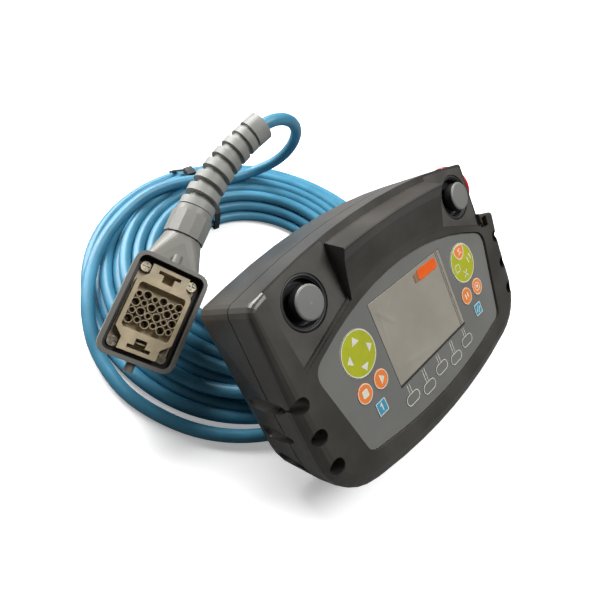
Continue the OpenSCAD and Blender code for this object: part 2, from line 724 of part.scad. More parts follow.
coil_at = [-10.2, coil_r - 26.9];       // its front stays under the back of the housing
// Route from the gland on the back down to the top of the coil
lead_route = [[27.8, 46.4, 50.6], [15.8, 46.3, 50.6], [3.8, 46.3, 50], [-10.2, 45.8, 48], [-24.2, 45.8, 44],
    [-39.2, 46.8, 37.5], [-54.2, 50.3, 31], [-67.2, 58.3, 27.6], [-76.2, 69.3, 27.2]];
// Route from the coil's top up through a loop into the bend relief
tail_route = [[21.8, 171.7, 27.2], [33.8, 172.5, 27.2], [44.8, 170.3, 29], [52.8, 163.8, 36], [58.3, 156.3, 47],
    [60.3, 150.3, 61], [56.8, 145.3, 76], [48.8, 141.8, 89], [37.8, 139.8, 98.5], [25.8, 139, 104.5],
    [13.8, 139.1, 105.6], [4.4, 139.1, 102.3]];
module cable_lead() {
    color(CABLE) tube(refined(lead_route, 2), cable_d / 2);
}
module cable_tail() {
    color(CABLE) tube(refined(tail_route, 2), cable_d / 2);
}
// Section of the pile of turns: its outer slope leaves room for the back of the housing
pile_slope = 21.2;
pile_lip = 5.8;
pile_round = 6;
module cable_coil() {
    color(CABLE) translate([coil_at.x, coil_at.y, 0]) difference() {
        rotate_extrude() polygon([
            [coil_hole_r, 0], [coil_r, 0], [coil_r, pile_lip], [coil_r - pile_slope, coil_h],
            [coil_hole_r + pile_round, coil_h], [coil_hole_r, coil_h - pile_round]]);
        rotate(tie_turn) box([coil_hole_r - cut, -tie_w / 2 - 0.2, -cut], [coil_r + cut, tie_w / 2 + 0.2, tie_t + 0.2]);
    }
}

// ---- plug, in its own frame: X towards the cable, Y across, Z out of the opening ----
plug_at = [-115.2, 81.7, 61];
plug_turn = [23, -24, 29];
plug_axis_z = -19;
module on_plug() {
    translate(plug_at) rotate(plug_turn) children();
}
function round_box(l, w, r) = rounded([[-l / 2, -w / 2, r, 4], [l / 2, -w / 2, r, 4],
    [l / 2, w / 2, r, 4], [-l / 2, w / 2, r, 4]]);

hood_neck_r = 11.5;
hood_neck_x = 50;
insert_top = -2.5;
insert_bottom = -19.7;
ear_bottom = -11.5;
ear_top = -9;
plug_boss_r = 2.7;
module plug_hood() {
    color(HOOD) on_plug() difference() {
        union() {
            skin([flat_ring(round_box(hood_l - 17, hood_w - 17, 4), -hood_h),
                flat_ring(round_box(hood_l - 9.4, hood_w - 9.4, 5), -hood_h + 2.5),
                flat_ring(round_box(hood_l - 4.4, hood_w - 4.4, 6), -20),
                flat_ring(round_box(hood_l - 3, hood_w - 3, 6), -9),
                flat_ring(round_box(hood_l, hood_w, 6.5), -7.5),
                flat_ring(round_box(hood_l, hood_w, 6.5), 0)]);
            hull() {
                box([hood_l / 2 - 7, -hood_w / 2 + 4, -hood_h + 2], [hood_l / 2 - 5, hood_w / 2 - 4, -8.6]);
                translate([0, 0, plug_axis_z]) bar_x(hood_neck_r, hood_neck_x - 5, hood_neck_x, $fn = 32);
            }
            translate([0, 0, plug_axis_z]) bar_x(hood_neck_r - 1, hood_neck_x - 2, hood_neck_x + 6);
            translate([0, 0, -5]) bar_x(peg_r, -hood_l / 2 - peg_l, -hood_l / 2 + 2);
            translate([0, 0, -5]) bar_x(peg_r, hood_l / 2 - 2, hood_l / 2 + peg_l);
        }
        difference() {
            union() {
                slab(round_box(hood_l - 2 * hood_wall, hood_w - 2 * hood_wall, 4), -8, cut);
                slab(round_box(hood_l - 9, hood_w - 9, 3), -20, -7);
                slab(round_box(hood_l - 16, hood_w - 16, 3), -hood_h + 4, -19);
            }
            for (s = plug_screw_at) hull() at_each([s, s * 1.06]) translate([0, 0, -hood_h])
                cylinder(r = plug_boss_r, h = ear_bottom + hood_h);
        }
        at_each(plug_screw_at) translate([0, 0, ear_bottom - 9]) cylinder(r = 1.55, h = 10);
        translate([0, 0, plug_axis_z]) bar_x(6, 26, hood_neck_x + 10);
    }
}
peg_r = 2.6;
peg_l = 5.5;

// Insulating insert: a stepped block with a sunk contact field and a slot at each end
insert_path = [[-14, -16], [14, -16], [18.6, -11], [25, -11], [25, 11], [18.6, 11], [14, 16], [-14, 16],
    [-18.6, 11], [-25, 11], [-25, -11], [-18.6, -11]];
// Contacts as [x, y, kind]: narrow and wide chambers take turns
contact_at = [for (row = [0:3], k = [0:5])
    [(row - 1.5) * 4.9 - 0.5 + (k % 2 == 0 ? 0.45 : -0.45), (k - 2.5) * 4.6, (row + k) % 2]];
contact_r = 1.15;
chamber_r = [1.5, 2.1];
module plug_insert() {
    color(INSERT) on_plug() difference() {
        union() {
            slab(insert_path, insert_bottom, insert_top);
            slab(round_box(50.4, 33.4, 3), ear_bottom, ear_top);
        }
        at_each(plug_screw_at) cylinder(r = 1.7, h = 60, center = true);
        slab([[-12, -13.6], [12, -13.6], [13.2, -12.4], [13.2, 12.4], [12, 13.6], [-12, 13.6],
            [-13.2, 12.4], [-13.2, -12.4]], insert_top - 6, insert_top + cut);
        for (end = [-1, 1]) translate([end * 19.8, 0, 0]) {
            box([-3, -3.2, insert_top - 9], [3, 3.2, insert_top + cut]);
            box([end < 0 ? -3 : 1, -6.5, insert_top - 9], [end < 0 ? -1 : 3, 6.5, insert_top + cut]);
        }
        for (c = contact_at) translate([c.x, c.y, insert_bottom + 4]) cylinder(r = chamber_r[c[2]], h = 40);
    }
}
module plug_contacts() {
    color(BRASS) on_plug() at_each(contact_at) translate([0, 0, insert_bottom + 4])
        cylinder(r = contact_r, h = insert_top - 8 - insert_bottom - 4);
}

plug_screw_at = [for (a = [-1, 1], b = [-1, 1]) [a * 22.3, b * 13.9]];
module plug_hardware() {
    color(STEEL) on_plug() {
        at_each(plug_screw_at) difference() {
            union() {
                translate([0, 0, ear_bottom - 8]) cylinder(r = 1.5, h = ear_top - ear_bottom + 9);
                translate([0, 0, ear_top]) cylinder(r = 2.9, h = 2.6);
            }
            for (turn = [0, 90]) rotate(turn) translate([0, 0, ear_top + 2.6])
                cube([4, 0.8, 1.6], center = true);
        }
        translate([-19.8, 0, 0]) box([0.4, -2.6, insert_top - 9], [1.2, 2.6, insert_top - 0.6]);
    }
}

plug_nut_x = hood_neck_x + 6;
module plug_gland_nut() {
    color(HOOD) on_plug() translate([plug_nut_x - 6, 0, plug_axis_z]) difference() {
        union() {
            translate([0.1, 0, 0]) rotate([0, 90, 0]) cylinder(r = 12.8, h = 15, $fn = 12);
            bar_x(11.4, 15, 19);
        }
        bar_x(hood_neck_r - 1 + pin_gap, -1, 6.3);
        bar_x(6, 0, 30);
    }
}

// Ribbed bend relief: a row of discs on a bending, tapering core
relief_start = plug_nut_x + 13;
relief_l = 71;
relief_bend = 25;
relief_side = 152;               // direction of the bend round the plug's axis
relief_ribs = 7;
relief_rad = relief_l / (relief_bend * PI / 180);
// Carries its children to the station s, from 0 to 1, along the bending centreline
module along_relief(s) {
    a = s * relief_bend;
    rotate([relief_side, 0, 0]) translate([relief_rad * sin(a), relief_rad * (1 - cos(a)), 0])
        rotate([0, 0, a]) children();
}
sheath_stop_r = 3.2;             // cable sheath ends against these bores
function relief_r(s) = 11.2 - 2 * s;
module bend_relief() {
    color(HOOD) on_plug() translate([relief_start, 0, plug_axis_z]) {
        rotate([relief_side, 0, 0]) translate([0, relief_rad, 0]) rotate(-90)
            rotate_extrude(angle = relief_bend) translate([relief_rad, 0]) difference() {
                circle(r = 7.6);
                circle(r = sheath_stop_r);
            }
        for (k = [0:relief_ribs - 1]) along_relief((k + 0.35) / (relief_ribs + 0.5)) difference() {
            bar_x(relief_r(k / relief_ribs), -2.6, 2.6);
            bar_x(7, -4, 4);
        }
        along_relief(1) difference() {
            bar_x(9.6, -6, 4);
            bar_x(cable_d / 2 + 0.3, -9, 5);
        }
    }
}

// Cable tie round the coiled turns, with its head on top
tie_turn = 84;
tie_w = 4.6;
tie_t = 1.2;
function tie_section(d) = [
    [coil_hole_r - d, tie_t + 0.3 - d], [coil_r + d, tie_t + 0.3 - d], [coil_r + d, pile_lip + d * 0.4],
    [coil_r - pile_slope + d * 0.4, coil_h + d], [coil_hole_r + pile_round - d * 0.4, coil_h + d],
    [coil_hole_r - d, coil_h - pile_round + d * 0.4]];
module cable_tie() {
    color([0.05, 0.05, 0.06]) translate([coil_at.x, coil_at.y, 0]) rotate(tie_turn) {
        rotate([90, 0, 0]) difference() {
            linear_extrude(tie_w, center = true) polygon(tie_section(0.3 + tie_t));
            linear_extrude(tie_w + cut, center = true) polygon(tie_section(0.3));
        }
        box([coil_r - pile_slope - 9, -3.6, coil_h + 0.3], [coil_r - pile_slope - 1, 3.6, coil_h + 5]);
    }
}

front_shell();
rear_shell();
housing_seal();
housing_screws();
left_corner_plate();
right_corner_plate();
keypad_foil();
display_window();
display_module();
screen_film();
keypad_board();
main_board();
strap_insert();
left_stick_base();
left_gaiter();
left_gimbal();
left_stick();
left_cap();
right_stick_base();
right_gaiter();
right_gimbal();
right_stick();
right_cap();
joystick_screws();
estop_collar();
estop_nut();
estop_plunger();
estop_mushroom();
estop_contact_block();
left_pad_up();
left_pad_left();
left_pad_down();
left_pad_right();
right_pad_up();
right_pad_left();
right_pad_down();
right_pad_right();
left_key_inner();
left_key_outer();
right_key_inner();
right_key_outer();
left_square_key();
right_square_key();
softkey_1();
softkey_2();
softkey_3();
softkey_4();
softkey_5();
cable_gland();
gland_nut();
cable_lead();
cable_coil();
cable_tail();
cable_tie();
plug_hood();
plug_insert();
plug_contacts();
plug_hardware();
plug_gland_nut();
bend_relief();
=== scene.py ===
"""Teach pendant leaning on its coiled blue lead, with the lead's rectangular plug on the coil."""

import math

import bmesh
import bpy
import numpy as np
from mathutils import Euler, Matrix, Vector


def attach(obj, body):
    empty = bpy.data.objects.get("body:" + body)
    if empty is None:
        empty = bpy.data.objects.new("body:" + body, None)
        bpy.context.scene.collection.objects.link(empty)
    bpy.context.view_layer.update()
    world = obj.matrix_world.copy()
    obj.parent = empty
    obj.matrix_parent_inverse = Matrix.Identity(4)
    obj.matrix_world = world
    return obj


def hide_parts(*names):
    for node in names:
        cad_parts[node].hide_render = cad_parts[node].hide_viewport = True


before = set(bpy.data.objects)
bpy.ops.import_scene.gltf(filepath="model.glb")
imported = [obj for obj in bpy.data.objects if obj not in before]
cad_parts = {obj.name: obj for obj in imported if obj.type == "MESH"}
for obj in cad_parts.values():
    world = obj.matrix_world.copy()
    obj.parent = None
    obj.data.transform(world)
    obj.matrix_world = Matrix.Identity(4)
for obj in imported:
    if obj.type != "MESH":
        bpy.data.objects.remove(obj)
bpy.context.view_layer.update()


# ---------------------------------------------------------------- camera
# An eye above the left end of the pendant, looking down across its keypad at the coil behind.
# Its turn is given by two of its axes: to its right, and back from what it looks at.
LENS, SENSOR = 28.43, 36
EYE = (-0.20255, -0.04551, 0.28479)
camera = bpy.data.objects.new("camera", bpy.data.cameras.new("camera"))
bpy.context.scene.collection.objects.link(camera)
camera.data.lens = LENS
camera.data.sensor_width = SENSOR
camera.data.clip_start = 0.01
view_right = Vector((0.68231, -0.69560, 0.22495)).normalized()
view_back = Vector((-0.55593, -0.29385, 0.77756)).normalized()
view_up = view_back.cross(view_right).normalized()
axes = Matrix((view_right, view_up, view_back)).transposed().to_4x4()
camera.matrix_world = Matrix.Translation(EYE) @ axes
bpy.context.scene.camera = camera


# ---------------------------------------------------------------- lead
# Ten and a half metres of blue polyurethane-sheathed control cable, wound clockwise into three
# layers from the pendant's gland and led over the pile to the plug. Lengths here are in
# millimetres and angles in degrees. BASE, MIDDLE and TOP are the heights of the three layers,
# and OVER_BASE and OVER_MIDDLE those of a turn where it rides over the layer below.
MM = 0.001
LEAD_D = 8.4
COIL_X, COIL_Y = -10.2, 99.3
COIL_START, COIL_END, LED_IN_END = 204, -6300, -6414
BASE, MIDDLE, TOP = 4.2, 11.5, 18.8
OVER_BASE, OVER_MIDDLE = 12.6, 21.0
OUTER_R, LED_IN_R = 132.5, 79.2
GLAND_RUN = [
    (25.8, 46.4, 50.6), (15.8, 46.3, 50.6), (3.8, 46.3, 50), (-10.2, 45.8, 48), (-24.2, 45.8, 44),
    (-39.2, 46.8, 37.5), (-54.2, 50.3, 31), (-67.2, 58.3, 27.6),
]
PLUG_RUN = [
    (33.8, 172.5, 27.2), (44.8, 170.3, 29), (52.8, 163.8, 36), (58.3, 156.3, 47),
    (60.3, 150.3, 61), (56.8, 145.3, 76), (48.8, 141.8, 89), (37.8, 139.8, 98.5),
    (25.8, 139, 104.5), (13.8, 139.1, 105.6), (4.4, 139.1, 102.3),
]


def eased(knots, at):
    """Values at the angles `at`. Between two knots, a share t of the way from one to the next
    gives the first value plus their difference times t * t * (3 - 2 * t)."""
    angles, values = np.array(sorted(knots)).T
    i = np.clip(np.searchsorted(angles, at) - 1, 0, len(angles) - 2)
    t = np.clip((at - angles[i]) / (angles[i + 1] - angles[i]), 0, 1)
    return values[i] + (values[i + 1] - values[i]) * t * t * (3 - 2 * t)


def winding():
    """Centreline of the turns: radius and height eased over an angle that falls from 204
    degrees. Each turn steps to the next radius between 300 and 240 degrees, where the upper
    layers ride over the one below."""
    top = [70.75, 79.3, 87.85, 96.4, 104.95]
    middle = [109.2, 100.7, 92.1, 83.6, 75.0, 66.5]
    base = [62.2, 70.75, 79.3, 87.85, 96.4, 104.95, 113.5]
    radii = [(COIL_START, 72.5), (165, top[0])]
    heights = [(COIL_START, 27.2), (165, TOP)]

    def step(turn, start, end, low, high):
        a = -360 * turn
        radii.extend([(a - 60, start), (a - 120, end)])
        if high > low:
            heights.extend([(a - 48, low), (a - 60, high), (a - 120, high), (a - 132, low)])

    for i in range(3):
        step(i, top[i], top[i + 1], TOP, OVER_MIDDLE)
    radii.extend([(-1140, top[3]), (-1200, top[4]), (-1218, middle[0])])
    heights.extend([(-1128, TOP), (-1140, OVER_MIDDLE), (-1204, OVER_MIDDLE), (-1238, MIDDLE)])
    for i in range(5):
        step(4 + i, middle[i], middle[i + 1], MIDDLE, OVER_BASE)
    radii.extend([(-3300, middle[5]), (-3330, 58.5), (-3360, base[0])])
    heights.extend([(-3288, MIDDLE), (-3300, OVER_BASE), (-3312, OVER_BASE), (-3356, BASE)])
    for i in range(6):
        step(10 + i, base[i], base[i + 1], BASE, BASE)
    radii.extend([(-5858, base[6]), (-5918, 122.05), (-6218, 122.05), (-6272, 134.0)])
    radii.extend([(-6292, 134.0), (COIL_END, OUTER_R)])
    heights.append((-6296, BASE))
    angles = np.arange(COIL_START, COIL_END, -8.0)
    return angles, eased(radii, angles), eased(heights, angles)


def climb():
    """The last turn's way in over the pile: its radius falls evenly with the angle, and its
    height is read at that radius from the outline of the pile."""
    angles = np.arange(COIL_END - 4, LED_IN_END - 2, -7.0)
    share = (angles - COIL_END) / (LED_IN_END - COIL_END)
    radius = OUTER_R + (LED_IN_R - OUTER_R) * share
    pile = [(79, 27.3), (96, 27.5), (101, 26.3), (106, 22.5), (112, 19.8), (118, 16.2),
            (122, 13.6), (126, 11.2), (129, 8.0), (131.5, 5.4), (133, 4.4)]
    return angles, radius, np.interp(radius, *np.array(pile).T)


def coil_points(angles, radius, height):
    """Points at the coil's middle plus the radius times the angle's cosine and sine."""
    turned = np.radians(angles)
    return np.c_[COIL_X + radius * np.cos(turned), COIL_Y + radius * np.sin(turned), height]


route = MM * np.vstack(
    [GLAND_RUN, coil_points(*winding()), coil_points(*climb()), PLUG_RUN]
)
lead_data = bpy.data.curves.new("lead", "CURVE")
lead_data.dimensions = "3D"
spline = lead_data.splines.new("NURBS")
spline.points.add(len(route) - 1)
spline.points.foreach_set("co", np.c_[route, np.ones(len(route))].ravel())
spline.order_u = 4
spline.use_endpoint_u = True
spline.resolution_u = 3
lead_data.resolution_u = 3
lead_data.bevel_depth = LEAD_D / 2 * MM
lead_data.bevel_resolution = 5
lead_data.use_fill_caps = True
lead = bpy.data.objects.new("lead", lead_data)
bpy.context.scene.collection.objects.link(lead)


class Value:
    """A number in a shader: Python's arithmetic on it adds Math nodes."""

    def __init__(self, finish, socket):
        self.finish = finish
        self.socket = socket

    def maths(self, operation, *inputs):
        node = self.finish.node("ShaderNodeMath", {"operation": operation}, *inputs)
        return Value(self.finish, node.outputs[0])

    def __add__(self, other):
        return self.maths("ADD", self, other)

    def __sub__(self, other):
        return self.maths("SUBTRACT", self, other)

    def __mul__(self, other):
        return self.maths("MULTIPLY", self, other)

    def __rsub__(self, other):
        return self.maths("SUBTRACT", other, self)

    def __abs__(self):
        return self.maths("ABSOLUTE", self)

    __radd__ = __add__
    __rmul__ = __mul__

    def rise(self, low, high):
        """0 up to low, 1 from high on, with a smooth step between them."""
        settings = {"interpolation_type": "SMOOTHSTEP"}
        node = self.finish.node("ShaderNodeMapRange", settings, self, low, high, 0.0, 1.0)
        return Value(self.finish, node.outputs[0])

    def colours(self, low, high):
        """Mixes two colours, low at 0 and high at 1; a Mix node's colours are sockets 6 and 7."""
        settings = {"data_type": "RGBA"}
        node = self.finish.node("ShaderNodeMix", settings, **{"0": self, "6": low, "7": high})
        return Value(self.finish, node.outputs[2])


class Finish:
    """One material: its Principled shader, and the nodes that vary it."""

    def __init__(self, name, colour, rough, **fixed):
        self.material = bpy.data.materials.new(name)
        self.material.use_nodes = True
        self.tree = self.material.node_tree
        self.shader = self.tree.nodes["Principled BSDF"]
        self.colour = colour
        self.rough = rough
        self.shader.inputs["Base Color"].default_value = (*colour, 1)
        self.shader.inputs["Roughness"].default_value = rough
        for socket, value in fixed.items():
            self.shader.inputs[socket.replace("_", " ")].default_value = value

    def node(self, kind, settings=None, *in_order, **by_name):
        """A node of that kind: its settings first, then its sockets' values or links."""
        node = self.tree.nodes.new(kind)
        for name, value in (settings or {}).items():
            setattr(node, name, value)
        sockets = list(enumerate(in_order)) + list(by_name.items())
        for key, value in sockets:
            key = int(key) if str(key).isdigit() else key.replace("_", " ")
            if isinstance(value, Value):
                self.tree.links.new(value.socket, node.inputs[key])
            elif isinstance(value, tuple) and len(node.inputs[key].default_value) == 4:
                node.inputs[key].default_value = (*value, 1)
            else:
                node.inputs[key].default_value = value
        return node

    def place(self):
        """The point on the piece, in metres."""
        return Value(self, self.node("ShaderNodeTexCoord").outputs["Object"])

    def noise(self, size, detail):
        """Cloudy noise from 0 to 1 with lumps of about that size in metres."""
        made = self.node(
            "ShaderNodeTexNoise", None, Vector=self.place(), Scale=1 / size, Detail=detail
        )
        return Value(self, made.outputs[0])

    def feed(self, socket, value):
        self.tree.links.new(value.socket, self.shader.inputs[socket])

    def relief(self, height, depth):
        """Bumps of that depth in metres, from a height of 0 to 1."""
        node = self.node("ShaderNodeBump", None, Strength=1.0, Distance=depth, Height=height)
        self.tree.links.new(node.outputs[0], self.shader.inputs["Normal"])

    def moulded(self, patch, gloss, grain, depth):
        """Roughness that goes up and down by half of gloss over patches, and a fine grain.
        Gives back how far each point is from the dull patches to the bright ones, 0 to 1."""
        cloud = self.noise(patch, 4.0)
        self.feed("Roughness", cloud * gloss + (self.rough - gloss / 2))
        self.relief(self.noise(grain, 2.0), depth)
        return cloud.rise(0.3, 0.72)

    def worn(self, spread, patch, gloss, grain, depth):
        """Moulded, with a colour that goes from 1 - spread to 1 + spread times its own."""
        pale = tuple(min(1.0, c * (1 + spread) + 0.02 * spread) for c in self.colour)
        deep = tuple(c * (1 - spread) for c in self.colour)
        self.feed("Base Color", self.moulded(patch, gloss, grain, depth).colours(deep, pale))
        return self.material


def dress(material, *nodes):
    """Gives CAD nodes that keep their own shape a material."""
    for name in nodes:
        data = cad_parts[name].data
        data.materials.clear()
        data.materials.append(material)


blue_sheath = Finish("blue_sheath", (0.06, 0.26, 0.40), 0.4)
lead_data.materials.append(blue_sheath.worn(0.12, 0.02, 0.2, 0.0011, 0.00006))
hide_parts("cable_lead", "cable_coil", "cable_tail")
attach(lead, "housing")


# ---------------------------------------------------------------- cable tie
# A black nylon tie, moulded as one strap with a lock at its end. It is drawn round all the
# turns at the back of the coil.
tie_nylon = Finish("tie_nylon", (0.012, 0.012, 0.013), 0.4)
dress(tie_nylon.worn(0.3, 0.006, 0.15, 0.0007, 0.00002), "cable_tie")


# ---------------------------------------------------------------- plug
# The lead's 24-pole plug: a moulded hood with a darker grey rim, a cable nut and a ribbed bend
# relief in warm grey, and in the hood a tan contact insert held by screws. The hood's mouth is
# painted black inside as painted shade. Thin collars stand round the contacts. Its own frame has
# X towards the cable and Z out of the opening.
PLUG = Matrix.Translation((-0.1152, 0.0817, 0.061)) @ Euler(
    [math.radians(a) for a in (23, -24, 29)]
).to_matrix().to_4x4()
MOUTH_X, MOUTH_Y, MOUTH_FLOOR = 27.7, 19.2, -18
CONTACT_ROWS, CONTACTS_IN_ROW = 4, 6
ROW_STEP, CONTACT_STEP = 4.9, 4.6
COLLAR_FOOT, COLLAR_TOP, COLLAR_WALL = -9.0, -3.1, 0.46


def circle(at, radius, start=0.0, end=360.0, count=48):
    """Points at `at` plus the radius times an angle's cosine and sine, from start to end; a
    whole turn leaves out its last point, which would be its first."""
    turned = np.radians(np.linspace(start, end, count, endpoint=end - start < 359))
    return np.c_[at[0] + radius * np.cos(turned), at[1] + radius * np.sin(turned)]


def meshed(name, points, faces, base):
    """A mesh of points given in millimetres in the frame `base`: each is turned as the frame
    is, and moved by its origin."""
    placed = points * MM @ np.array(base.to_3x3()).T + np.array(base.translation)
    mesh = bpy.data.meshes.new(name)
    mesh.from_pydata(placed.tolist(), [], faces.tolist())
    return mesh


def revolved(name, profile, base, spots, count=96):
    """Rings about the Z axis of the frame `base`, one at each of the spots in its X and Y. Each
    point (radius, height) of the closed profile, which runs up on the ring's outside, goes
    round a circle of its radius at its height."""
    radius, height = np.array(profile).T[:, :, None, None]
    flat = np.array(spots)[:, None, None] + radius * circle((0, 0), 1, count=count)
    level = np.broadcast_to(height, (*flat.shape[:-1], 1))
    points = np.concatenate([flat, level], axis=-1).reshape(-1, 3)
    a = np.arange(len(points)).reshape(flat.shape[:-1])
    b = np.roll(a, -1, axis=2)
    faces = np.stack([a, b, np.roll(b, -1, axis=1), np.roll(a, -1, axis=1)], axis=-1)
    return bpy.data.objects.new(name, meshed(name, points, faces.reshape(-1, 4), base))


def standing(piece, body, material, smooth=False):
    """Puts a finished piece in the scene: its body and its material."""
    bpy.context.scene.collection.objects.link(piece)
    piece.data.materials.append(material)
    piece.data.polygons.foreach_set("use_smooth", [smooth] * len(piece.data.polygons))
    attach(piece, body)
    return piece


def along(finish, base, axis):
    """How far a point of the piece lies along an axis of the frame `base`, in millimetres: the
    point's dot product with the axis, less that of the frame's origin."""
    way = base.to_3x3().col[axis]
    node = finish.node("ShaderNodeVectorMath", {"operation": "DOT_PRODUCT"}, finish.place(),
                       tuple(way / MM))
    return Value(finish, node.outputs["Value"]) - float(way.dot(base.translation) / MM)


hood_plastic = Finish("hood_plastic", (0.31, 0.30, 0.265), 0.42)
patches = hood_plastic.moulded(0.03, 0.16, 0.0009, 0.00004)
hood_grey = patches.colours((0.19, 0.183, 0.162), (0.235, 0.226, 0.2))
rim_grey = (0.15, 0.143, 0.125)
painted_shade_black = (0.018, 0.016, 0.013)
# Painted shade: the hood is painted black inside its mouth, which is MOUTH_X and MOUTH_Y each
# way from the middle, from the floor of the mouth to a little below its rim.
in_mouth = 1.0
for axis, reach in ((0, MOUTH_X), (1, MOUTH_Y)):
    in_mouth = (reach - abs(along(hood_plastic, PLUG, axis))).rise(-0.1, 0.1) * in_mouth
height = along(hood_plastic, PLUG, 2)
inside = in_mouth * height.rise(MOUTH_FLOOR - 1, MOUTH_FLOOR) * (1 - height.rise(-2.2, -0.4))
# The rim is a darker grey than the rest of the hood.
skin = height.rise(-0.5, -0.2).colours(hood_grey, rim_grey)
# Painted shade: the inside of the mouth is painted black where its shadow falls.
hood_plastic.feed("Base Color", inside.colours(skin, painted_shade_black))
dress(hood_plastic.material, "plug_hood")
nut_plastic = Finish("nut_plastic", (0.25, 0.243, 0.222), 0.42)
dress(nut_plastic.worn(0.07, 0.02, 0.16, 0.0009, 0.00004), "plug_gland_nut")
boot_plastic = Finish("boot_plastic", (0.29, 0.29, 0.268), 0.48)
dress(boot_plastic.worn(0.1, 0.015, 0.14, 0.0009, 0.00004), "bend_relief")
insert_plastic = Finish("insert_plastic", (0.46, 0.375, 0.24), 0.42)
insert_tan = insert_plastic.worn(0.12, 0.006, 0.2, 0.0006, 0.00002)
dress(insert_tan, "plug_insert")
contact_tin = Finish("contact_tin", (0.36, 0.32, 0.24), 0.34, Metallic=1.0)
dress(contact_tin.worn(0.3, 0.002, 0.2, 0.0004, 0.00001), "plug_contacts", "plug_hardware")

plug_pieces = [
    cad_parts[name]
    for name in ("plug_hood", "plug_insert", "plug_contacts", "plug_hardware",
                 "plug_gland_nut", "bend_relief")
]
for kind, odd, bore in (("narrow", 0, 1.5), ("wide", 1, 2.1)):
    spots = [
        ((row - 1.5) * ROW_STEP - 0.5 + (0.45, -0.45)[k % 2], (k - 2.5) * CONTACT_STEP)
        for row in range(CONTACT_ROWS) for k in range(CONTACTS_IN_ROW) if (row + k) % 2 == odd
    ]
    outer = bore + COLLAR_WALL
    wall = [(outer, COLLAR_FOOT), (outer, COLLAR_TOP - 0.2), (outer - 0.1, COLLAR_TOP),
            (bore + 0.1, COLLAR_TOP), (bore, COLLAR_TOP - 0.2), (bore, COLLAR_FOOT)]
    collars = revolved(f"{kind}_collars", wall, PLUG, spots, 28)
    plug_pieces.append(standing(collars, "housing", insert_tan, True))


# ---------------------------------------------------------------- housing
# Two moulded shells of dark warm grey plastic, screwed together over a rubber gasket, with a
# flat plate let into each upper corner, a cable gland in the back and a threaded brass insert
# for the strap in the right shoulder.
housing_plastic = Finish("housing_plastic", (0.055, 0.051, 0.045), 0.34, Coat_Weight=0.12)
dress(
    housing_plastic.worn(0.18, 0.03, 0.14, 0.0007, 0.00003),
    "front_shell", "rear_shell", "cable_gland", "gland_nut",
)
plate_plastic = Finish("plate_plastic", (0.078, 0.072, 0.064), 0.38)
dress(
    plate_plastic.worn(0.15, 0.02, 0.14, 0.0007, 0.00003),
    "left_corner_plate", "right_corner_plate",
)
black_rubber = Finish("black_rubber", (0.012, 0.012, 0.012), 0.5)
rubber = black_rubber.worn(0.25, 0.01, 0.2, 0.0008, 0.00002)
dress(rubber, "housing_seal")
plated_steel = Finish("plated_steel", (0.60, 0.59, 0.56), 0.3, Metallic=1.0)
steel = plated_steel.worn(0.2, 0.004, 0.2, 0.0004, 0.00001)
dress(steel, "housing_screws")
insert_brass = Finish("insert_brass", (0.72, 0.50, 0.20), 0.28, Metallic=1.0)
dress(insert_brass.worn(0.25, 0.003, 0.2, 0.0004, 0.00001), "strap_insert")


# ---------------------------------------------------------------- keypad
# A mid grey keypad foil over moulded keys, screen printed: a green, orange or blue ground on
# each key, and cream outlines and pictograms over it. Its sizes are in millimetres from the
# middle of the keypad, X to the right and Y up along the face.
FACE = Matrix.Translation((-0.0022, -0.0123, 0.082504))
FACE = FACE @ Matrix.Rotation(math.radians(38.6), 4, "X")
KEY_LEVEL = 0.35
INK, INK_TOP = 0.02, 0.03
SIDES = (("left", -1), ("right", 1))
PAD_X, PAD_R, PAD_LINE_R, PAD_RING_R = 55, 12.86, 12.3, 13.1
QUARTER = 44.95
WAYS = {"right": 0, "up": 90, "left": 180, "down": 270}


def oblong(at, width, height, radius, count=8):
    """The outline of a rectangle with round corners: four quarter circles, each half the width
    and half the height less the radius from the middle."""
    x, y = width / 2 - radius, height / 2 - radius
    corners = [(x, y, 0), (-x, y, 90), (-x, -y, 180), (x, -y, 270)]
    return np.vstack([
        circle((at[0] + cx, at[1] + cy), radius, a, a + 90, count) for cx, cy, a in corners
    ])


def line(points, width, closed=False):
    """A band of that width along points. At a corner between the directions a and b its edge
    lies at the half width times perpendicular(a + b) / (1 + a.b), which mitres it."""
    p = np.array(points, float)
    before, after = np.roll(p, 1, axis=0), np.roll(p, -1, axis=0)
    if not closed:
        before[0], after[-1] = 2 * p[0] - p[1], 2 * p[-1] - p[-2]
    a, b = p - before, after - p
    a /= np.linalg.norm(a, axis=1)[:, None]
    b /= np.linalg.norm(b, axis=1)[:, None]
    across = np.c_[-(a + b)[:, 1], (a + b)[:, 0]] / (1 + (a * b).sum(1))[:, None]
    edges = p + across * width / 2, p - across * width / 2
    return tuple(np.vstack([edge, edge[:1]]) if closed else edge for edge in edges)


def filled(points):
    """The inside of an outline: a band from the outline to the mean of its points."""
    outline = np.vstack([points, points[:1]])
    return outline, np.repeat(outline[:-1].mean(0)[None], len(outline), axis=0)


def thickened(piece, thick):
    """Gives a sheet a thickness in millimetres, all of it under the surface as drawn."""
    made = piece.modifiers.new("thickness", "SOLIDIFY")
    made.thickness = thick * MM
    made.offset = -1
    return piece


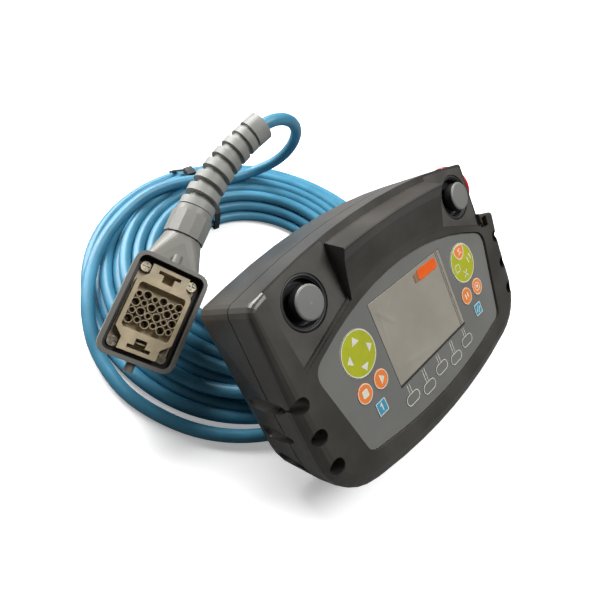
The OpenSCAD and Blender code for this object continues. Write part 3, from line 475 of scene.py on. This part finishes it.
def printed(name, bands, level, body, material):
    """Ink at a level over the foil, face up: each band is the strip between two edges, with a
    quad from every point of one edge to its like on the other."""
    points, faces, first = [], [], 0
    for one, other in bands:
        points += [one, other]
        i = first + np.arange(len(one) - 1)
        faces.append(np.stack([i, i + 1, i + len(one) + 1, i + len(one)], axis=1))
        first += 2 * len(one)
    flat = np.vstack(points)
    raised = np.c_[flat, np.full(len(flat), level + INK_TOP)]
    mesh = meshed(name, raised, np.vstack(faces), FACE)
    up = FACE.to_3x3() @ Vector((0, 0, 1))
    edit = bmesh.new()
    edit.from_mesh(mesh)
    bmesh.ops.remove_doubles(edit, verts=edit.verts, dist=1e-7)
    bmesh.ops.reverse_faces(edit, faces=[f for f in edit.faces if f.normal.dot(up) < 0])
    edit.to_mesh(mesh)
    edit.free()
    piece = thickened(bpy.data.objects.new(name, mesh), INK)
    return standing(piece, body, material)


foil_film = Finish("foil_film", (0.185, 0.185, 0.175), 0.38)
dress(
    foil_film.worn(0.05, 0.04, 0.1, 0.0005, 0.00001),
    "keypad_foil", *[f"softkey_{i}" for i in range(1, 6)],
)
key_green = Finish("key_green", (0.46, 0.49, 0.02), 0.42)
key_orange = Finish("key_orange", (0.90, 0.25, 0.05), 0.42)
key_blue = Finish("key_blue", (0.06, 0.33, 0.50), 0.42)
green = key_green.worn(0.06, 0.01, 0.1, 0.0005, 0.00001)
orange = key_orange.worn(0.06, 0.01, 0.1, 0.0005, 0.00001)
blue = key_blue.worn(0.06, 0.01, 0.1, 0.0005, 0.00001)
cream_ink = Finish("cream_ink", (0.78, 0.77, 0.66), 0.45)
cream = cream_ink.worn(0.06, 0.004, 0.1, 0.0004, 0.000004)
for side, sign in SIDES:
    dress(green, *[f"{side}_pad_{way}" for way in WAYS])
    dress(orange, f"{side}_key_inner", f"{side}_key_outer")
    dress(blue, f"{side}_square_key")

PAD_PRINTS = {
    "left_pad_up": [filled([(-55.1, 10), (-51.6, 5.8), (-57.4, 5.4)])],
    "left_pad_right": [filled([(-47.8, 2.5), (-44.2, -0.4), (-47.9, -3.3)])],
    "left_pad_left": [filled([(-61.5, 2.5), (-64.9, -0.6), (-61.2, -3.6)])],
    "left_pad_down": [filled([(-51.2, -7.1), (-57.3, -6.8), (-54.5, -10.9)])],
    "right_pad_left": [line(oblong((48.2, -1), 4.6, 4.6, 0.5), 0.5, True)],
    "right_pad_down": [line([(52.8, -5.2), (56.9, -9.6)], 0.8),
                       line([(56.8, -5.4), (52.7, -9.5)], 0.8)],
    "right_pad_right": [line([(61.1, 1.2), (61.7, -2.6)], 1.0),
                        line([(64.4, 2.6), (65.0, -1.4)], 1.0)],
}
SHIELD = [(50.2, 11.0), (52.5, 11.8), (55, 12.0), (57.5, 11.8), (59.8, 11.0), (60.5, 8.6),
          (59.4, 5.6), (57.3, 3.6), (55, 2.8), (52.7, 3.6), (50.6, 5.6), (49.5, 8.6)]
for side, sign in SIDES:
    middle = (sign * PAD_X, 0)
    for way, turn in WAYS.items():
        key = f"{side}_pad_{way}"
        sector = circle(middle, PAD_R, turn - QUARTER, turn + QUARTER, 25)
        edge = circle(middle, PAD_LINE_R, turn - QUARTER, turn + QUARTER, 25)
        ground = [filled(np.vstack([[middle], sector]))]
        printed(f"{key}_ground", ground, KEY_LEVEL, key, green)
        marks = [(sector, edge)] + PAD_PRINTS.get(key, [])
        if key == "right_pad_up":
            printed("right_pad_shield", [filled(SHIELD)], KEY_LEVEL + 0.03, key,
                    orange)
            marks += [line(SHIELD, 0.7, True),
                      line([(56.9, 9.6), (54.0, 8.9), (55.9, 7.3), (53.9, 5.9)], 0.75),
                      line([(55.9, 7.3), (57.2, 6.2)], 0.75)]
        printed(f"{key}_print", marks, KEY_LEVEL + 0.06, key, cream)

ROUND_X = {"inner": 47.8, "outer": 61.8}
ROUND_Y, ROUND_LINE_R = -20.7, 5.25
ROUND_PRINTS = {
    "left_key_inner": [filled([(-48.5, -17.8), (-44.9, -20.7), (-48.5, -23.7)])],
    "left_key_outer": [filled(oblong((-61.7, -20.7), 4.5, 4.5, 0.9))],
    "right_key_inner": [line([(46.4, -18.9), (46.6, -22.4)], 1.2),
                        line([(49.0, -18.6), (49.2, -22.1)], 1.2)],
    "right_key_outer": [line(circle((61.8, -20.7), 2.7), 0.55, True),
                        filled([(60.3, -19.7), (63.3, -19.7), (61.8, -22.4)])],
}
for side, sign in SIDES:
    for place, x in ROUND_X.items():
        key = f"{side}_key_{place}"
        ring = line(circle((sign * x, ROUND_Y), ROUND_LINE_R), 0.5, True)
        printed(f"{key}_print", [ring] + ROUND_PRINTS[key], KEY_LEVEL, key, cream)

SQUARE_X, SQUARE_Y, SQUARE_SIDE = 54.8, -34.1, 7.4
SQUARE_PRINTS = {
    "left": [line([(-55.9, -33.2), (-54.6, -31.9), (-54.6, -36.3)], 0.7)],
    "right": [line([(52.6, -35.6), (55.6, -31.9)], 0.6),
              line([(54.6, -36.4), (57.2, -33.1)], 0.6)],
}
for side, sign in SIDES:
    outline = oblong((sign * SQUARE_X, SQUARE_Y), SQUARE_SIDE, SQUARE_SIDE, 0.6)
    square = line(outline, 0.5, True)
    printed(f"{side}_square_key_print", [square] + SQUARE_PRINTS[side], KEY_LEVEL,
            f"{side}_square_key", cream)

SOFT_STEP, SOFT_SHIFT, SOFT_Y = 15.8, 0.7, (-45, -48)
SOFT_OUTLINE = (11.9, 6.2, 3.0)
LEADER_TOP, LEADER_GAP = -36.2, 1.05
foil_lines = []
for i in range(5):
    x, y = (i - 2) * SOFT_STEP + SOFT_SHIFT, SOFT_Y[i % 2]
    printed(f"softkey_{i + 1}_print", [line(oblong((x, y), *SOFT_OUTLINE), 0.45, True)],
            KEY_LEVEL, f"softkey_{i + 1}", cream)
    for shift in (-LEADER_GAP, LEADER_GAP):
        foil_lines.append(line([(x + shift, LEADER_TOP), (x + shift, y + 3.2)], 0.4))
for side, sign in SIDES:
    foil_lines.append(line(circle((sign * PAD_X, 0), PAD_RING_R, count=72), 0.2, True))
printed("foil_print", foil_lines, 0.0, "housing", cream)


# ---------------------------------------------------------------- display
# A colour display behind a bonded window. The window is still under its protective film, which
# lies on it in shallow wrinkles, and the film carries a stuck-on orange peel tab.
FILM_X, FILM_Y, FILM_MIDDLE_Y = 36.2, 26.05, -7.5
CREASES = [
    ((-34, 14), (-20, -2), 1.6, 0.30), ((-30, 18), (-33, -12), 1.2, 0.22),
    ((-12, 17), (-26, 6), 1.5, 0.16), ((-34, -24), (6, -31), 1.8, 0.14),
    ((20, -30), (34, -12), 1.6, 0.12),
]
TAB_AT, TAB_X, TAB_Y = (19.5, 13), 9.7, 3.4


def draped(name, x, y, z, thick):
    """A sheet over a grid: the arrays x, y and z give each point's place on the face."""
    rows, columns = z.shape
    corner = (np.arange(rows - 1)[:, None] * columns + np.arange(columns - 1)).ravel()
    faces = np.stack([corner, corner + 1, corner + columns + 1, corner + columns], axis=1)
    mesh = meshed(name, np.stack([x, y, z], axis=-1).reshape(-1, 3), faces, FACE)
    return thickened(bpy.data.objects.new(name, mesh), thick)


def crease(x, y, start, end, width, high):
    """A fold from start to end: high * exp(-(distance / width)^2), fading at its two ends."""
    a, b = np.array(start), np.array(end)
    share = ((x - a[0]) * (b - a)[0] + (y - a[1]) * (b - a)[1]) / ((b - a) ** 2).sum()
    off = np.hypot(x - a[0] - share * (b - a)[0], y - a[1] - share * (b - a)[1])
    fade = np.clip(1 - np.abs(share * 2 - 1) ** 3, 0, 1)
    return high * fade * np.exp(-((off / width) ** 2))


window_sheet = Finish("window_sheet", (0.05, 0.05, 0.046), 0.2)
dress(window_sheet.worn(0.1, 0.03, 0.1, 0.0006, 0.00001), "display_window")
black_plastic = Finish("black_plastic", (0.02, 0.02, 0.02), 0.45)
black = black_plastic.worn(0.2, 0.02, 0.15, 0.0006, 0.00002)
dress(black, "display_module")
board_resin = Finish("board_resin", (0.02, 0.12, 0.05), 0.4)
dress(board_resin.worn(0.2, 0.01, 0.15, 0.0006, 0.00001), "keypad_board", "main_board")

across, up = np.meshgrid(np.linspace(-1, 1, 145), np.linspace(-1, 1, 109))
x, y = across * FILM_X, FILM_MIDDLE_Y + up * FILM_Y
film_z = 0.06 + 0.03 * np.sin(x * 0.21 + 1.3) * np.sin(y * 0.17)
for start, end, width, high in CREASES:
    film_z = film_z + crease(x, y, start, end, width, high)
cover_film = Finish("cover_film", (0.36, 0.335, 0.285), 0.3, Coat_Weight=0.4)
film = draped("cover_film", x, y, np.maximum(film_z, 0.03), 0.02)
standing(film, "housing", cover_film.worn(0.07, 0.03, 0.12, 0.0016, 0.00002), True)
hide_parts("screen_film")
grey_ink = Finish("grey_ink", (0.085, 0.082, 0.075), 0.3)
edge_lines = [line([(x, -33.4), (x, 18.4)], 0.25) for x in (31.9, 33.4)]
printed("display_edge", edge_lines, 0.2, "housing",
        grey_ink.worn(0.1, 0.004, 0.1, 0.0004, 0.000004))

across, up = np.meshgrid(np.linspace(-1, 1, 41), np.linspace(-1, 1, 17))
ends = np.clip((np.abs(across) - 0.8) / 0.2, 0, 1)
x = TAB_AT[0] + across * TAB_X
y = TAB_AT[1] + up * (TAB_Y - 1.3 * ends**2.4)
tab_z = 0.32 + 0.28 * np.clip(across, 0, 1) ** 2 + 0.1 * up**2
tab_orange = Finish("tab_orange", (1.0, 0.14, 0.01), 0.35, Coat_Weight=0.3)
tab = draped("peel_tab", x, y, tab_z, 0.12)
standing(tab, "housing", tab_orange.worn(0.05, 0.006, 0.1, 0.0006, 0.00001), True)
tape_brown = Finish("tape_brown", (0.34, 0.20, 0.12), 0.3)
printed("peel_tape", [filled(oblong((8.6, 12.6), 5.4, 5.6, 1.2))], 0.28, "housing",
        tape_brown.worn(0.12, 0.003, 0.1, 0.0004, 0.000004))


# ---------------------------------------------------------------- joysticks
# Two thumb joysticks: a grey cap with a black rubber skirt on a steel stem in a gimbal, in a
# rubber bellows whose flat rim is clamped in the well of the corner plate.
STICK_X, STICK_Y = 72, 39.6
SKIRT_TOP = 2.5
CAP_GREY, SKIRT_BLACK = (0.195, 0.197, 0.185), (0.012, 0.012, 0.012)
BELLOWS = [
    (13.9, -7.0), (14.45, -6.6), (14.5, -1.7), (14.2, -1.35), (13.0, -1.35), (12.75, -1.6),
    (12.7, -2.3), (12.5, -2.15), (12.2, -2.15), (12.0, -2.6), (11.95, -4.4), (11.8, -6.2),
    (11.4, -6.85), (10.6, -7.0), (10.1, -6.8), (9.7, -6.8), (9.3, -7.0), (6.6, -7.05),
    (5.9, -7.05), (5.9, -7.4), (8.8, -7.5), (13.6, -7.4),
]
cap_plastic = Finish("cap_plastic", CAP_GREY, 0.45)
cap_plastic.moulded(0.01, 0.14, 0.0007, 0.00003)
top = along(cap_plastic, FACE, 2).rise(SKIRT_TOP, SKIRT_TOP + 0.25)
cap_plastic.feed("Base Color", top.colours(SKIRT_BLACK, CAP_GREY))
dress(steel, "joystick_screws")
for side, sign in SIDES:
    dress(cap_plastic.material, f"{side}_cap")
    dress(steel, f"{side}_gimbal", f"{side}_stick")
    dress(black, f"{side}_stick_base")
    dress(rubber, f"{side}_gaiter")
    bellows = revolved(f"{side}_bellows", BELLOWS, FACE, [(sign * STICK_X, STICK_Y)])
    standing(bellows, "housing", rubber, True)
    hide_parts(f"{side}_gaiter")


# ---------------------------------------------------------------- emergency stop
# A red latching mushroom on a white acetal plunger, in a black collar that a steel nut holds in
# the pendant's right end. Its contact block sits behind, in the housing.
stop_red = Finish("stop_red", (0.60, 0.012, 0.018), 0.25, Coat_Weight=0.3)
dress(stop_red.worn(0.08, 0.01, 0.1, 0.0009, 0.00001), "estop_mushroom")
white_acetal = Finish("white_acetal", (0.55, 0.55, 0.52), 0.4)
dress(white_acetal.worn(0.05, 0.01, 0.1, 0.0009, 0.00001), "estop_plunger")
dress(black, "estop_collar", "estop_contact_block")
dress(steel, "estop_nut")


# ---------------------------------------------------------------- floor and light
# A pale table under three soft square lamps: the key behind and above, a low one behind at the
# left that edges the shapes, and a weaker fill from the front at the right. Table and
# surroundings show white to the camera and light the pendant less.
FLOOR_HALF = 1.5
SURROUND_LIGHT = 0.08
corners = np.array([(-1, -1, 0), (1, -1, 0), (1, 1, 0), (-1, 1, 0)]) * FLOOR_HALF / MM
floor_mesh = meshed("floor", corners, np.array([(0, 1, 2, 3)]), Matrix.Identity(4))
floor = bpy.data.objects.new("floor", floor_mesh)
bpy.context.scene.collection.objects.link(floor)
floor_paint = Finish("floor_paint", (0.9, 0.9, 0.9), 0.9)
path = floor_paint.node("ShaderNodeLightPath")
seen = Value(floor_paint, path.outputs["Is Camera Ray"])
floor_paint.feed("Base Color", seen.colours((0.2, 0.2, 0.2), (1.0, 1.0, 1.0)))
floor_paint.feed("Emission Color", seen.colours((0.0, 0.0, 0.0), (0.3, 0.3, 0.3)))
floor_paint.shader.inputs["Emission Strength"].default_value = 1.0
floor.data.materials.append(floor_paint.material)


def lamp(name, at, towards, size, watts):
    """A square soft lamp at a point, turned towards another."""
    data = bpy.data.lights.new(name, "AREA")
    data.size = size
    data.energy = watts
    made = bpy.data.objects.new(name, data)
    made.location = at
    made.rotation_euler = (Vector(towards) - Vector(at)).to_track_quat("-Z", "Y").to_euler()
    bpy.context.scene.collection.objects.link(made)


lamp("key", (0.15, 1.15, 0.95), (0, 0.05, 0.05), 0.8, 30)
lamp("rim", (-0.35, 1.2, 0.42), (0, 0.05, 0.05), 0.5, 9)
lamp("fill", (0.5, -0.35, 1.2), (0, 0.0, 0.05), 0.7, 15)

world = bpy.context.scene.world or bpy.data.worlds.new("world")
bpy.context.scene.world = world
world.use_nodes = True
sky = world.node_tree.nodes["Background"]
sky.inputs["Color"].default_value = (1, 1, 1, 1)
path = world.node_tree.nodes.new("ShaderNodeLightPath")
strength = world.node_tree.nodes.new("ShaderNodeMapRange")
world.node_tree.links.new(path.outputs["Is Camera Ray"], strength.inputs["Value"])
strength.inputs["To Min"].default_value = SURROUND_LIGHT
strength.inputs["To Max"].default_value = 1.0
world.node_tree.links.new(strength.outputs[0], sky.inputs["Strength"])
bpy.context.scene.view_settings.view_transform = "Standard"
